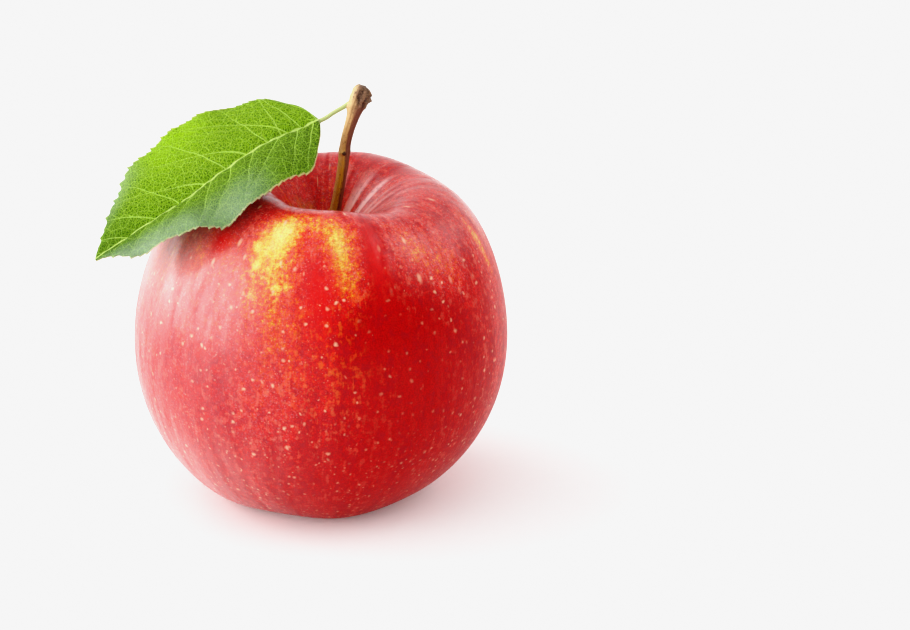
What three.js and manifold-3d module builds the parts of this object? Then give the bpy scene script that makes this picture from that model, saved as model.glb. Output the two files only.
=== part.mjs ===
// A fresh apple standing on its base, with its woody stem, one leaf and the dried calyx.
// Millimetres, +Z up. Everything is laid out around the fruit's own axis, with the surface it
// stands on at z = 0; +X is to the right of the leaf, and -Y is the side the leaf leans over.
// At the end the whole group is centred over the origin, which is the middle of its footprint.
import * as THREE from "three";
import { mergeVertices } from "three/addons/utils/BufferGeometryUtils.js";
import Module from "manifold-3d";

const wasm = await Module();
wasm.setup();

// ---- Driving dimensions ----
const FRUIT_RADIUS = 39.9; // half of the widest girth
const EQUATOR = 35.2; // height of the widest girth
const TOP_HEIGHT = 39; // from the girth up to the crown, before the cavity is pressed in
const BASE_HEIGHT = 40.6; // from the girth down to the base, before the basin is pressed in
const LEAN = 0.02; // sideways drift of the axis for each mm of height
const FLAT_DEPTH = 0.25; // how far the base lobes are pressed flat

const CAVITY_DEPTH = 20.6; // the hollow that the stem grows from
const CAVITY_RADIUS = 12.4;
const BASIN_DEPTH = 15.8; // the hollow round the calyx
const BASIN_RADIUS = 11.9;

const STEM_ROOT_RADIUS = 1.3;
const STEM_WAIST_RADIUS = 1.08;
const STEM_HEAD_RADIUS = 2.2;

const BLADE_THICKNESS = 0.6;
const PETIOLE_RADIUS = 0.55;

const SEPALS = 5;
const SEPAL_LENGTH = 6;
const SEPAL_WIDTH = 2.6;
const SEPAL_THICKNESS = 0.45;
const CALYX_RADIUS = 3; // of the ring that the sepals hang from
const CALYX_HEIGHT = 8.5; // of the same ring, just clear of the basin's floor
const STAMENS = 10;

const { sin, cos, exp, max, min, abs, PI } = Math;
const degrees = THREE.MathUtils.degToRad;

// ---- Shared: a closed skin over rings of points ----

// Joins each ring to the next with triangles, and closes both ends on a single point.
// The rings run from the first end to the last, anticlockwise seen from the last end.
function skin(firstPoint, rings, lastPoint) {
  const points = [firstPoint, ...rings.flat(), lastPoint];
  const count = rings[0].length;
  const last = points.length - 1;
  const at = (ring, k) => 1 + ring * count + (k % count);
  const faces = [];
  for (let k = 0; k < count; k++) {
    faces.push(0, at(0, k + 1), at(0, k));
    faces.push(last, at(rings.length - 1, k), at(rings.length - 1, k + 1));
    for (let ring = 0; ring < rings.length - 1; ring++) {
      faces.push(at(ring, k), at(ring, k + 1), at(ring + 1, k + 1));
      faces.push(at(ring, k), at(ring + 1, k + 1), at(ring + 1, k));
    }
  }
  const geometry = new THREE.BufferGeometry().setFromPoints(points);
  geometry.setIndex(faces);
  return geometry;
}

// The value at a station along a piece, read off between the stated [station, value] pairs.
function eased(pairs, station) {
  const next = pairs.findIndex(([s]) => s >= station);
  if (next <= 0) return pairs[max(next, 0)][1];
  const [[s0, v0], [s1, v1]] = [pairs[next - 1], pairs[next]];
  return THREE.MathUtils.lerp(v0, v1, (station - s0) / (s1 - s0));
}

// ---- The fruit ----

// The skin's point at a latitude from -PI/2 (calyx) to PI/2 (stem) and an angle round the axis.
// It is a spheroid, broader above than below, with a bell-shaped hollow pressed into each end,
// five lobes that show most round the base, and a crown that stands highest over the front left
// and again over the back right.
function fruitPoint(latitude, angle) {
  const up = sin(latitude);
  const top = max(up, 0);
  const low = max(-up, 0);
  const lobe = cos(5 * (angle - degrees(212)));
  let r = FRUIT_RADIUS * max(cos(latitude), 0) ** (0.84 - 0.14 * up);
  let z = EQUATOR + THREE.MathUtils.lerp(BASE_HEIGHT, TOP_HEIGHT, (1 + up) / 2) * up;
  const cavityRadius = CAVITY_RADIUS * (1 + 0.22 * cos(angle + degrees(15)));
  z -= CAVITY_DEPTH * exp(-((r / cavityRadius) ** 1.6)) * top;
  z += BASIN_DEPTH * exp(-((r / BASIN_RADIUS) ** 2)) * low;
  const offAxis = 1 - exp(-((r / 9) ** 2));
  const backRight = exp(3 * (cos(angle - degrees(32)) - 1));
  z += offAxis * top ** 2 * (1.2 * cos(angle - degrees(212)) + 2 * backRight + 0.55 * lobe);
  z -= offAxis * low ** 6 * 0.5 * lobe;
  const shoulder = exp(-(((up - 0.75) / 0.35) ** 2));
  r *= 1 + lobe * (0.022 * low ** 3 + 0.02 * top ** 2 * shoulder);
  r *= 1 + 0.006 * cos(2 * (angle - degrees(20)));
  const x = r * cos(angle) + LEAN * (z - EQUATOR);
  return new THREE.Vector3(x, r * sin(angle), z);
}

// The bands are closest together in the two hollows. The lobes stand on small flat spots: the
// skin is lowered by FLAT_DEPTH and cut off level.
function fruitGeometry(bands = 46, segments = 60) {
  const rings = [];
  for (let band = 1; band < bands; band++) {
    const share = (2 * band) / bands - 1;
    const latitude = (PI / 2) * Math.sign(share) * (1 - (1 - abs(share)) ** 1.5);
    const ring = [];
    for (let k = 0; k < segments; k++) ring.push(fruitPoint(latitude, (2 * PI * k) / segments));
    rings.push(ring);
  }
  const lowest = min(...rings.flat().map((point) => point.z));
  const calyxEnd = fruitPoint(-PI / 2, 0);
  const stemEnd = fruitPoint(PI / 2, 0);
  for (const point of [...rings.flat(), calyxEnd, stemEnd]) {
    point.z = max(point.z - lowest - FLAT_DEPTH, 0);
  }
  return skin(calyxEnd, rings, stemEnd);
}

// ---- The stem ----

// The stem rises from the floor of the cavity, bends to the right and swells into the woody
// head where it was joined to the spur. A slight collar halfway up marks an old bud.
const STEM_LINE = new THREE.CatmullRomCurve3(
  [
    [1.5, 0, 56.1],
    [3.5, 0, 63.5],
    [5.1, 0, 72.4],
    [5.9, 0, 78.6],
    [7.6, 0, 84.7],
    [9, 0, 88.6],
    [9.6, 0, 90.3],
  ].map((point) => new THREE.Vector3(...point)),
);

// Each pair is a share of the stem's length, and the radius there.
const STEM_RADII = [
  [0, 0.9],
  [0.05, STEM_ROOT_RADIUS],
  [0.22, STEM_WAIST_RADIUS],
  [0.4, 1.04],
  [0.57, 1.15],
  [0.66, 1.05],
  [0.74, 1.1],
  [0.83, 1.4],
  [0.89, 1.95],
  [0.94, STEM_HEAD_RADIUS],
  [0.98, 1.7],
  [1, 1],
];

// Rings of a round bar along a curve, facing along it, with -Y as one of the ring's own axes.
function barRings(curve, radiusAt, stations, sides) {
  const rings = [];
  for (let s = 0; s <= stations; s++) {
    const centre = curve.getPointAt(s / stations);
    const along = curve.getTangentAt(s / stations);
    const across = new THREE.Vector3(0, -1, 0).projectOnPlane(along).normalize();
    const over = new THREE.Vector3().crossVectors(along, across);
    const ring = [];
    for (let k = 0; k < sides; k++) {
      const turn = (2 * PI * k) / sides;
      const arm = across.clone().multiplyScalar(cos(turn)).addScaledVector(over, sin(turn));
      ring.push(centre.clone().addScaledVector(arm, radiusAt(s / stations)));
    }
    rings.push(ring);
  }
  return rings;
}

function stemGeometry() {
  const rings = barRings(STEM_LINE, (s) => eased(STEM_RADII, s), 34, 14);
  return skin(STEM_LINE.getPointAt(0), rings, STEM_LINE.getPointAt(1));
}

// ---- The leaf ----

// The petiole runs from just under the stem's head to the base of the blade.
const PETIOLE_LINE = new THREE.CatmullRomCurve3(
  [
    [5.2, -0.1, 85.7],
    [3.2, -0.4, 84.6],
    [1.7, -0.6, 83.6],
    [0.4, -0.8, 83],
  ].map((point) => new THREE.Vector3(...point)),
);

// The blade, from its base to its tip: the far edge, the midrib and the near edge of each
// station. It arches down to the left, its two halves make a shallow V, and its near edge
// waves down and up again past the middle.
const BLADE = [
  [[0.2, -0.3, 83.1], [0.4, -0.8, 83], [0.5, -1.3, 82.8]],
  [[-3.3, 3.4, 84.5], [-1.1, -1.1, 82.6], [0.7, -5.6, 81.2]],
  [[-7, 6.1, 85], [-3.2, -1.6, 81.9], [0, -12, 78.1]],
  [[-10.7, 7.9, 85.1], [-5.8, -2.2, 81.1], [-1.2, -15.4, 76.6]],
  [[-15.5, 9.5, 83.9], [-9.8, -3.5, 79.6], [-5, -17.6, 75.5]],
  [[-21.1, 9.8, 82.3], [-14.6, -5.2, 77.3], [-9.7, -20, 73.7]],
  [[-26.8, 9.5, 80.9], [-19.1, -6.9, 74.5], [-14, -22.8, 70.9]],
  [[-31.5, 8.5, 78.2], [-23.6, -8.5, 71.6], [-18, -25.3, 68]],
  [[-34, 7.3, 76.2], [-26.2, -9.4, 69.6], [-20.6, -25.8, 67.5]],
  [[-37.3, 5.4, 73.8], [-29.8, -10.6, 67.4], [-24.5, -26.2, 67.9]],
  [[-41.1, 2, 70.4], [-34.5, -12.1, 64.8], [-30.1, -25.7, 65.1]],
  [[-43.4, -4, 65.7], [-39.2, -13.4, 62], [-36.2, -23.2, 60.9]],
  [[-45.2, -10.1, 61], [-43.3, -14.4, 59.3], [-42, -18.7, 58.9]],
  [[-46.6, -14.8, 57.2], [-46.5, -15, 57.2], [-46.4, -15.2, 57.1]],
];
const [FAR_EDGE, MIDRIB, NEAR_EDGE] = [0, 1, 2].map(
  (line) => new THREE.CatmullRomCurve3(BLADE.map((row) => new THREE.Vector3(...row[line]))),
);

// One ring across the blade: a thin lens that goes out along the near half and back along the
// far half, above the midrib, and then the same way round below it.
function bladeRing(share, halfPoints) {
  const centre = MIDRIB.getPoint(share);
  const toNear = NEAR_EDGE.getPoint(share).sub(centre);
  const toFar = FAR_EDGE.getPoint(share).sub(centre);
  const across = toNear.clone().sub(toFar);
  const over = MIDRIB.getTangent(share).cross(across).normalize();
  const halfThickness = max(BLADE_THICKNESS / 2, PETIOLE_RADIUS * (1 - 12 * share));
  const ring = [];
  for (let k = 0; k < 4 * halfPoints; k++) {
    const turn = (2 * PI * k) / (4 * halfPoints);
    const half = cos(turn) >= 0 ? toNear : toFar;
    const point = centre.clone().addScaledVector(half, abs(cos(turn)));
    ring.push(point.addScaledVector(over, halfThickness * sin(turn)));
  }
  return ring;
}

function leafGeometry(stations = 40, halfPoints = 7) {
  const rings = barRings(PETIOLE_LINE, () => PETIOLE_RADIUS, 5, 4 * halfPoints);
  rings.pop();
  for (let s = 0; s <= stations; s++) rings.push(bladeRing(s / stations, halfPoints));
  return skin(PETIOLE_LINE.getPoint(0), rings, MIDRIB.getPoint(1));
}

// ---- The calyx ----

// One dried sepal: a narrow blade that hangs into the basin from a ring round the calyx tube,
// wide at its root, pointed at its tip, and curling away from the axis.
function sepalGeometry(stations = 7, sides = 8) {
  const root = new THREE.Vector3(CALYX_RADIUS, 0, 0);
  const rings = [];
  for (let s = 0; s <= stations; s++) {
    const share = s / stations;
    const drop = 0.8 * SEPAL_LENGTH * sin((share * PI) / 2);
    const centre = root.clone().add(new THREE.Vector3(0.32 * SEPAL_LENGTH * share ** 2, 0, -drop));
    const bend = degrees(90 * share);
    const over = new THREE.Vector3(cos(bend), 0, sin(bend));
    const half = 0.15 + (SEPAL_WIDTH / 2) * (1 - share ** 1.6);
    const ring = [];
    for (let k = 0; k < sides; k++) {
      const turn = (2 * PI * k) / sides;
      const point = centre.clone().addScaledVector(over, (SEPAL_THICKNESS / 2) * sin(turn));
      ring.push(point.add(new THREE.Vector3(0, half * cos(turn), 0)));
    }
    rings.push(ring);
  }
  const tip = rings.at(-1)[0].clone().lerp(rings.at(-1)[sides / 2], 0.5);
  return skin(root, rings, tip);
}

function solidOf(geometry) {
  const bare = geometry.clone();
  bare.deleteAttribute("normal");
  bare.deleteAttribute("uv");
  const merged = mergeVertices(bare);
  return new wasm.Manifold(
    new wasm.Mesh({
      numProp: 3,
      vertProperties: merged.attributes.position.array,
      triVerts: new Uint32Array(merged.index.array),
    }),
  );
}

function geometryOf(solid) {
  const mesh = solid.getMesh();
  const geometry = new THREE.BufferGeometry();
  geometry.setAttribute("position", new THREE.BufferAttribute(mesh.vertProperties, 3));
  geometry.setIndex(new THREE.BufferAttribute(mesh.triVerts, 1));
  return geometry;
}

// The dried stamens: fine bristles that splay from a small disc at the bottom of the basin.
function stamenGeometry() {
  const disc = new THREE.CylinderGeometry(1.7, 1.7, 0.7, 16).rotateX(PI / 2);
  let tuft = solidOf(disc);
  for (let k = 0; k < STAMENS; k++) {
    const angle = (2 * PI * k) / STAMENS;
    const splay = degrees(k % 2 ? 12 : 26);
    const bristle = new THREE.CylinderGeometry(0.24, 0.12, 3.6, 6)
      .rotateX(PI / 2)
      .translate(0, 0, -1.6)
      .rotateY(-splay)
      .translate(1.1, 0, 0)
      .rotateZ(angle);
    tuft = tuft.add(solidOf(bristle));
  }
  return geometryOf(tuft);
}

// ---- Assembly ----

function material(color, roughness) {
  return new THREE.MeshStandardMaterial({ color, roughness, metalness: 0 });
}
const appleSkin = material(0xb3202a, 0.3);
const stemBark = material(0x8a5f2d, 0.7);
const leafGreen = material(0x5d9a1c, 0.5);
const driedSepal = material(0x6b5334, 0.85);

function named(name, geometry, look) {
  const mesh = new THREE.Mesh(geometry, look);
  mesh.name = name;
  return mesh;
}

const apple = new THREE.Group();
apple.add(named("apple_body", fruitGeometry(), appleSkin));
apple.add(named("stem", stemGeometry(), stemBark));
apple.add(named("leaf", leafGeometry(), leafGreen));

// The sepals and stamens hang in the basin, just clear of its floor.
const calyx = new THREE.Group();
calyx.position.set(LEAN * (CALYX_HEIGHT - EQUATOR), 0, CALYX_HEIGHT);
const stamenTuft = named("stamen_tuft", stamenGeometry(), driedSepal);
stamenTuft.position.z = 0.3;
calyx.add(stamenTuft);
for (let k = 0; k < SEPALS; k++) {
  const sepal = named(`sepal_${k + 1}`, sepalGeometry(), driedSepal);
  sepal.rotation.z = (2 * PI * k) / SEPALS;
  calyx.add(sepal);
}
apple.add(calyx);

// The origin is the middle of the footprint, on the surface that the apple stands on.
const box = new THREE.Box3().setFromObject(apple);
apple.position.set(-(box.min.x + box.max.x) / 2, -(box.min.y + box.max.y) / 2, -box.min.z);

export default apple;
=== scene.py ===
import math

import bpy
import numpy as np
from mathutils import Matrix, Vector


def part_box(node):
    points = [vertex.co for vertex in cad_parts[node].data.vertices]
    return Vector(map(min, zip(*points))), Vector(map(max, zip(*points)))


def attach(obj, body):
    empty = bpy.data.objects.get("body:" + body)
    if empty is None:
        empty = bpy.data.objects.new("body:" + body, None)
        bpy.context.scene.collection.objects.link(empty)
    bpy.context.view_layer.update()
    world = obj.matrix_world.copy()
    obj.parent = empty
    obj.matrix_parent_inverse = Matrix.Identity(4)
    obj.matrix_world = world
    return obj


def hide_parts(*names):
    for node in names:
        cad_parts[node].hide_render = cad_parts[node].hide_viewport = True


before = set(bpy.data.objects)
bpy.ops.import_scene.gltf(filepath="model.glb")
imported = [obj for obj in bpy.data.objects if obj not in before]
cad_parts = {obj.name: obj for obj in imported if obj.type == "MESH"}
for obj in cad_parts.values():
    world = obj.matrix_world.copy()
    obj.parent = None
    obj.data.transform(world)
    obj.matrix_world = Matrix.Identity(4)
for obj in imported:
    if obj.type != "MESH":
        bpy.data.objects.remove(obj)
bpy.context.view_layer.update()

MM = 0.001


# ---- The fruit ----
# A dessert apple: crisp flesh grown as one with its thin waxy skin, pressed in at the top
# round the stem and at the base round the calyx. It stands on its five base lobes.

FRUIT_RADIUS = 39.9
EQUATOR = 35.2
TOP_HEIGHT = 39.0
BASE_HEIGHT = 40.6
LEAN = 0.02
FLAT_DEPTH = 0.25
CAVITY_DEPTH = 20.6
CAVITY_RADIUS = 12.4
BASIN_DEPTH = 15.8
BASIN_RADIUS = 11.9
LOBE_ANGLE = math.radians(212)
SWELL = 0.12
PLEAT = 0.10
FOLD = 0.16
FRUIT_BANDS = 230
FRUIT_SEGMENTS = 400


def fruit_shape(latitude, angle):
    """Point of the skin, in mm, at a latitude and an angle round the axis.

    A spheroid, broader above than below, whose radius is a power of the latitude's cosine. A
    bell-shaped hollow is taken off each end, five cosine lobes swell the base and the shoulder,
    and the crown is raised by a cosine on the front left and a rounded bump on the back right.
    """
    up = np.sin(latitude)
    top = up.clip(0)
    low = (-up).clip(0)
    lobe = np.cos(5 * (angle - LOBE_ANGLE))
    r = FRUIT_RADIUS * np.cos(latitude).clip(0) ** (0.84 - 0.14 * up) + 0 * angle
    z = EQUATOR + (BASE_HEIGHT + (TOP_HEIGHT - BASE_HEIGHT) * (1 + up) / 2) * up
    cavity_radius = CAVITY_RADIUS * (1 + 0.22 * np.cos(angle + math.radians(15)))
    z = z - CAVITY_DEPTH * np.exp(-((r / cavity_radius) ** 1.6)) * top
    z = z + BASIN_DEPTH * np.exp(-((r / BASIN_RADIUS) ** 2)) * low
    off_axis = 1 - np.exp(-((r / 9) ** 2))
    back_right = np.exp(3 * (np.cos(angle - math.radians(32)) - 1))
    crown = 1.2 * np.cos(angle - LOBE_ANGLE) + 2 * back_right + 0.55 * lobe
    z = z + off_axis * top**2 * crown
    z = z - off_axis * low**6 * 0.5 * lobe
    shoulder = np.exp(-(((up - 0.75) / 0.35) ** 2))
    r = r * (1 + lobe * (0.022 * low**3 + 0.02 * top**2 * shoulder))
    r = r * (1 + 0.006 * np.cos(2 * (angle - math.radians(20))))
    return np.stack([r * np.cos(angle) + LEAN * (z - EQUATOR), r * np.sin(angle), z], axis=-1)


def waves(seed, count, turns, rises, *surface):
    """A smooth random height over an angle and a rise, about -1 to 1: a sum of cosines, each with
    a whole number of turns round the axis so that it meets itself, and weaker the finer it is."""
    angle, rise = surface
    rng = np.random.default_rng(seed)
    total = 0
    for _ in range(count):
        n = rng.integers(turns[0], turns[1])
        m = rng.uniform(-rises, rises)
        phase = rng.uniform(0, 2 * math.pi)
        total = total + np.cos(n * angle + m * rise + phase) / math.sqrt(count / 2)
    return total


def skin_mesh(name, rings, first, last):
    """A closed mesh over rings of points, in mm, with one point at each end: quads from each ring
    to the next, and a fan of triangles at both ends."""
    rows, columns = rings.shape[:2]
    points = np.concatenate([[first], rings.reshape(-1, 3), [last]]) * MM
    row = 1 + columns * np.arange(rows - 1)[:, None]
    column = np.arange(columns)[None, :]
    beside = (column + 1) % columns
    above, beside_above = row + columns + column, row + columns + beside
    quads = np.stack([row + column, row + beside, beside_above, above], -1)
    end = 1 + columns * (rows - 1)
    foot = np.stack([0 * column, 1 + beside, 1 + column], -1)
    head = np.stack([0 * column + len(points) - 1, end + column, end + beside], -1)
    mesh = bpy.data.meshes.new(name)
    fans = foot.reshape(-1, 3).tolist(), head.reshape(-1, 3).tolist()
    mesh.from_pydata(points, [], fans[0] + quads.reshape(-1, 4).tolist() + fans[1])
    mesh.shade_smooth()
    piece = bpy.data.objects.new(name, mesh)
    bpy.context.scene.collection.objects.link(piece)
    return piece


def mark(piece, name, values, first, last):
    """Stores one number, or one vector, for each point of a mesh made by skin_mesh."""
    values = np.asarray(values, dtype=np.float32)
    whole = np.concatenate([[first], values.reshape(-1, *np.shape(first)), [last]])
    kind, field = ("FLOAT_VECTOR", "vector") if np.ndim(first) else ("FLOAT", "value")
    attribute = piece.data.attributes.new(name, kind, "POINT")
    attribute.data.foreach_set(field, whole.astype(np.float32).ravel())


share = np.linspace(-1, 1, FRUIT_BANDS + 1)[1:-1, None]
latitude = (math.pi / 2) * np.sign(share) * (1 - (1 - abs(share)) ** 1.5)
angle = np.linspace(-math.pi, math.pi, FRUIT_SEGMENTS, endpoint=False)[None, :]
plain_rings = fruit_shape(latitude, angle)
poles = fruit_shape(np.array([-math.pi / 2, math.pi / 2]), np.zeros(2))

# The flesh isn't quite even: low swellings all over, and shallow pleats that run down into the
# cavity and up into the basin.
radius = np.hypot(plain_rings[..., 0], plain_rings[..., 1])
outward = plain_rings - np.array([0, 0, EQUATOR])
outward /= np.linalg.norm(outward, axis=-1, keepdims=True)
swell = SWELL * waves(3, 14, (1, 7), 5, angle, latitude) * np.cos(latitude)
inside = np.exp(-(((radius - 11) / 6) ** 2)) * (latitude > 0)
pleats = PLEAT * waves(4, 18, (5, 26), 2, angle, latitude) * inside
folds = FOLD * waves(5, 12, (5, 14), 2, angle, latitude)
folds = folds * np.exp(-(((radius - 8) / 5) ** 2)) * (latitude < 0)
fruit_rings = plain_rings + outward * (swell + pleats + folds)[..., None]

# The fruit is set down on its flats, and moved to where the frame has it. Every other piece
# grows from it, so placing, in mm, moves them too.
settle = plain_rings[..., 2].min() + FLAT_DEPTH
fruit_rings[..., 2] = (fruit_rings[..., 2] - settle).clip(0)
poles[:, 2] -= settle
fruit_low, fruit_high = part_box("apple_body")
plain_low, plain_high = plain_rings.min((0, 1)), plain_rings.max((0, 1))
placing = np.array([
    fruit_low.x / MM - plain_low[0],
    (fruit_low.y + fruit_high.y) / 2 / MM - (plain_low[1] + plain_high[1]) / 2,
    0,
])
fruit_rings = fruit_rings + placing
poles = poles + placing
fruit = skin_mesh("apple_skin", fruit_rings, poles[0], poles[1])

# Where the yellow ground shows through the red blush, or the blush is deeper than elsewhere:
# each patch is an angle round the axis and a latitude, two half-widths, all in degrees, and how
# much redder it is (less than nothing: yellower).
PATCHES = [
    (-104, 56, 6, 8, -0.86),
    (-95, 60, 6, 5, -0.22),
    (-112, 51, 6, 8, -0.46),
    (-107, 43, 9, 9, -0.40),
    (-86, 59, 11, 6, -0.34),
    (-81, 51, 8, 8, -0.52),
    (-79, 41, 6, 9, -0.44),
    (-77, 32, 4.5, 7, -0.38),
    (-115, 48, 2.2, 2.5, -0.25),
    (-113, 41, 1.8, 2, -0.35),
    (-112, 31, 1.8, 2, -0.40),
    (-104, 34, 1.8, 1.6, -0.35),
    (-100, 35, 1.6, 2, -0.35),
    (-90, 39, 4.5, 8, 0.24),
    (-88, 26, 5, 9, 0.10),
    (-94, 16, 15, 26, -0.16),
    (-105, 28, 14, 12, -0.12),
    (-69, 46, 4, 12, 0.42),
    (-64, 56, 4, 6, 0.20),
    (-49, 46, 6, 10, -0.46),
    (-40, 36, 7, 9, -0.32),
    (-12, 36, 3, 13, -0.58),
    (-3, 38, 2, 12, -0.30),
    # The next two are painted light under the leaf's tip: a paler patch stands in for the highlight
    # there, and a narrow red streak for the leaf's shadow across that highlight.
    (-135, 42, 12, 9, -0.20),
    (-133, 44, 2, 7, 0.30),
    (-160, 36, 14, 14, -0.24),
    (-58, 4, 24, 27, 0.46),
    (-71, 24, 9, 11, 0.42),
    (-30, 6, 26, 30, 0.10),
    (80, 62, 60, 12, 0.40),
    (-112, 38, 14, 16, -0.16),
    (-75, -44, 70, 20, 0.30),
    (-50, -22, 40, 18, 0.10),
    (-95, -22, 26, 14, 0.14),
]
turn = np.degrees(angle)
height = np.degrees(latitude)


def zone(at_angle, at_height, wide, tall):
    """1 at a place on the skin, falling away round it as a Gaussian, all in degrees."""
    away = (turn - at_angle + 180) % 360 - 180
    return np.exp(-((away / wide) ** 2) - ((height - at_height) / tall) ** 2)


red = 1.0 + 0.05 * waves(6, 40, (6, 46), 4, angle, latitude)
for at_angle, at_height, wide, tall, redder in PATCHES:
    red = red + redder * zone(at_angle, at_height, wide, tall)
# The back is striped, and the cavity and the basin are paler towards their floors.
behind = 1 / (1 + np.exp(-6 * (np.cos(angle - math.radians(100)) - 0.2)))
stripes = waves(7, 36, (3, 22), 2.2, angle, latitude)
stripes = stripes + 0.5 * waves(8, 20, (20, 60), 3, angle, latitude)
red = red - 0.26 * behind * (stripes + 0.2).clip(0) * np.exp(-(((height - 38) / 34) ** 2))
inner = 1 - np.clip((radius - 5) / 9, 0, 1)
cavity = inner * (latitude > 0)
basin = inner * (latitude < 0)
streaks = 0.5 + 0.5 * waves(9, 24, (8, 34), 1, angle, latitude)
red = red - cavity**1.5 * (0.06 + 0.22 * streaks.clip(0) ** 2)
red = red - basin * (0.5 + 0.3 * streaks)

# A painted highlight, in pale rays, runs up the right wall of the cavity.
right_wall_highlight = (1 - np.clip((radius - 9) / 11, 0, 1)) * (latitude > 0)
right_wall_highlight = right_wall_highlight * np.exp(-(((turn - 30) / 44) ** 2))
highlight_streaks = 0.55 + 0.5 * waves(10, 20, (9, 36), 2, angle, latitude)

# Where a painted highlight whitens the skin on the left, where it is duller, where it is a clear
# bright red, and where its grain is orange. The small clear red patch under the leaf's tip is
# painted shadow, where the leaf blocks that highlight.
painted_left_highlight = 0.46 * zone(-155, 34, 32, 20) + 0.28 * zone(-155, -32, 40, 16)
dull = zone(-128, 4, 34, 34)
vivid_red_and_leaf_shadow = zone(-89, 33, 6, 13) + zone(-67, 46, 5, 13) + zone(-131, 47, 5, 6)
warm = zone(-84, 18, 19, 26)

mark(fruit, "blush", red, 0.0, 0.1)
mark(fruit, "cavity", cavity, 0.0, 1.0)
mark(fruit, "basin", basin, 1.0, 0.0)
zones = {"painted_wall_highlight": right_wall_highlight * highlight_streaks.clip(0), "painted_left_highlight": painted_left_highlight, "dull": dull, "vivid_red_and_leaf_shadow": vivid_red_and_leaf_shadow, "warm": warm}
for name, values in zones.items():
    mark(fruit, name, values, 0.0, 0.0)

# The skin's streaks run from pole to pole, so they are drawn on the meridians: the cosine and the
# sine of the angle, and the latitude.
across = np.broadcast_to(np.cos(angle), red.shape)
along = np.broadcast_to(np.sin(angle), red.shape)
rise = np.broadcast_to(latitude, red.shape)
mark(fruit, "meridian", np.stack([across, along, rise], -1), (0, 0, -1.6), (0, 0, 1.6))


class Wire:
    """An output of a shader node. Arithmetic on it adds the Math node that works it out."""

    def __init__(self, finish, socket):
        self.finish = finish
        self.socket = socket

    def math(self, operation, first, second=0.0):
        return self.finish.node("Math", {"operation": operation}, {0: first, 1: second})

    def __add__(self, other):
        return self.math("ADD", self, other)

    def __sub__(self, other):
        return self.math("SUBTRACT", self, other)

    def __rsub__(self, other):
        return self.math("SUBTRACT", other, self)

    def __mul__(self, other):
        return self.math("MULTIPLY", self, other)

    def __truediv__(self, other):
        return self.math("DIVIDE", self, other)

    def __pow__(self, other):
        return self.math("POWER", self, other)

    __radd__ = __add__
    __rmul__ = __mul__

    def most(self, other):
        return self.math("MAXIMUM", self, other)

    def fade(self, start, end):
        """0 before start, 1 after end, and a smooth step between them. With start above end it
        falls instead."""
        settings = {"interpolation_type": "SMOOTHSTEP"}
        if not isinstance(start, Wire) and not isinstance(end, Wire) and start > end:
            return 1 - self.fade(end, start)
        return self.finish.node("MapRange", settings, {"Value": self, "From Min": start, "From Max": end})


class Finish:
    """A material and its nodes, or the nodes of a tree that is there already. node() makes any of
    them: its kind, its settings, then its sockets."""

    def __init__(self, name, tree=None):
        if tree is None:
            self.material = bpy.data.materials.new(name)
            self.material.use_nodes = True
            tree = self.material.node_tree
            self.shader = tree.nodes["Principled BSDF"]
        self.tree = tree

    def node(self, kind, settings=None, sockets=None, out=0):
        made = self.tree.nodes.new("ShaderNode" + kind)
        for key, value in (settings or {}).items():
            if key == "stops":
                ramp = made.color_ramp.elements
                for k, (place, colour) in enumerate(value):
                    stop = ramp[k] if k < 2 else ramp.new(place)
                    stop.position, stop.color = place, (*colour, 1)
            else:
                setattr(made, key, value)
        for key, value in (sockets or {}).items():
            self.feed(made.inputs[key], value)
        return Wire(self, made.outputs[out])

    def feed(self, socket, value):
        if isinstance(value, Wire):
            self.tree.links.new(value.socket, socket)
        elif isinstance(value, tuple) and len(value) == 3 and socket.type == "RGBA":
            socket.default_value = (*value, 1)
        else:
            socket.default_value = value

    def set(self, **values):
        """Feeds the shader's own sockets: Base_Color feeds Base Color."""
        for key, value in values.items():
            self.feed(self.shader.inputs[key.replace("_", " ")], value)

    def mix(self, factor, first, second, blend="MIX"):
        """A colour between two colours, or the first one blended with the second."""
        settings = {"data_type": "RGBA", "blend_type": blend}
        return self.node("Mix", settings, {0: factor, 6: first, 7: second}, out=2)

    def ramp(self, factor, *stops):
        return self.node("ValToRGB", {"stops": stops}, {0: factor})

    def marked(self, name, out="Fac"):
        return self.node("Attribute", {"attribute_name": name}, out=out)

    def vector(self, operation, first, second):
        slot = "Scale" if operation == "SCALE" else 1
        return self.node("VectorMath", {"operation": operation}, {0: first, slot: second})

    def millimetres(self, stretch=(1, 1, 1)):
        """The piece's own coordinates, in mm, squeezed along each axis."""
        place = self.node("TexCoord", out="Object")
        return self.vector("MULTIPLY", place, tuple(s / MM for s in stretch))

    def axis(self, vector, name):
        return self.node("SeparateXYZ", None, {0: vector}, out=name)

    def noise(self, vector, scale, detail=2.0, roughness=0.5, out="Fac"):
        sockets = {"Vector": vector, "Scale": scale, "Detail": detail, "Roughness": roughness}
        return self.node("TexNoise", None, sockets, out=out)

    def cells(self, vector, scale, feature="F1", out="Distance", flat=False):
        settings = {"feature": feature, "voronoi_dimensions": "2D" if flat else "3D"}
        return self.node("TexVoronoi", settings, {"Vector": vector, "Scale": scale}, out=out)

    def bump(self, height, distance, strength=1.0):
        sockets = {"Height": height, "Distance": distance, "Strength": strength}
        return self.node("Bump", None, sockets)


def dots(finish, vector, cells_per_mm, radius, soft):
    """Lenticels scattered over the skin: 1 in the middle of each and 0 outside. Each cell of the
    scatter has its own size, up to the radius, and about a tenth of the cells have none."""
    distance = finish.cells(vector, cells_per_mm)
    own = finish.cells(vector, cells_per_mm, out="Color")
    size = finish.node("SeparateColor", None, {0: own})
    reach = (0.35 + size * 0.65) * radius * cells_per_mm
    return (1 - (distance / reach).fade(1 - soft, 1)) * size.fade(0.08, 0.14)


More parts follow.
